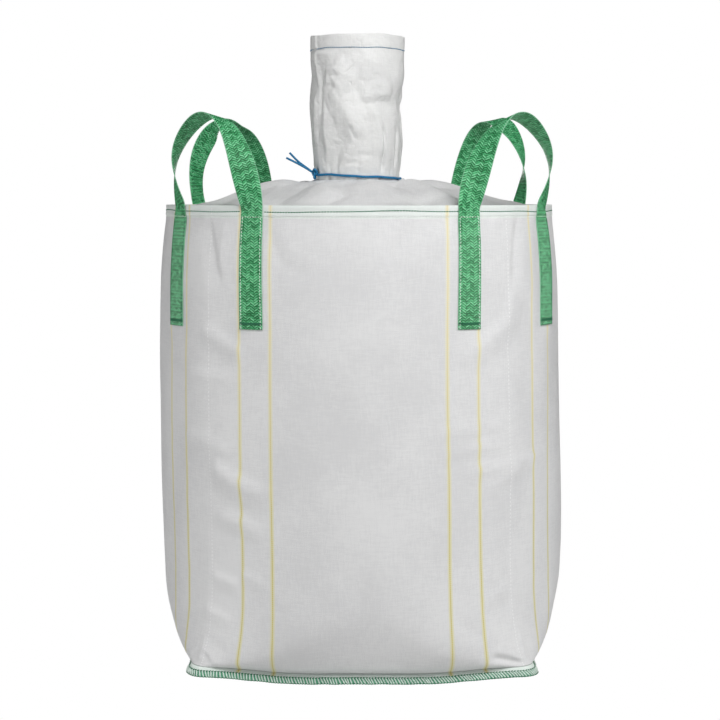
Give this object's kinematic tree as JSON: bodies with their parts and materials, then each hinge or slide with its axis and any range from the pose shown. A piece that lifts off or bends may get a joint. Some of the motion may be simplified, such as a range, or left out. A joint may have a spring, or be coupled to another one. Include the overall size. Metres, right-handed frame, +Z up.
{
  "type": "circular bulk bag",
  "caption": "Empty round woven bulk bag standing open, with a square sewn base, webbing lifting loops at its corners and a tied filling spout on top",
  "frame": {"origin": "on the floor under the middle of the base", "axes": "+Z is up through the spout, -Y is the front, and the base's sides lie along X and Y"},
  "size_m": [1.15, 1.15, 1.7411],
  "materials": {
    "body_cloth": "white plain-woven polypropylene tape cloth, satin, with yellow marker yarns and green seam thread",
    "spout_cloth": "white light woven polypropylene cloth, satin, creased, with a blue stitch line",
    "loop_webbing": "green herringbone-woven polypropylene webbing, matt, with stitch lines",
    "tie_cord": "blue braided polypropylene cord, satin"
  },
  "bodies": {
    "root": {"body_fabric": "body_cloth", "top_panel": "body_cloth", "bottom_panel": "body_cloth", "filling_spout": "spout_cloth", "tie_cord": "tie_cord", "tie_tail_upper": "tie_cord", "tie_tail_lower": "tie_cord", "lift_loop_front_left": "loop_webbing", "lift_loop_front_right": "loop_webbing", "lift_loop_rear_left": "loop_webbing", "lift_loop_rear_right": "loop_webbing"}
  },
  "joints": []
}
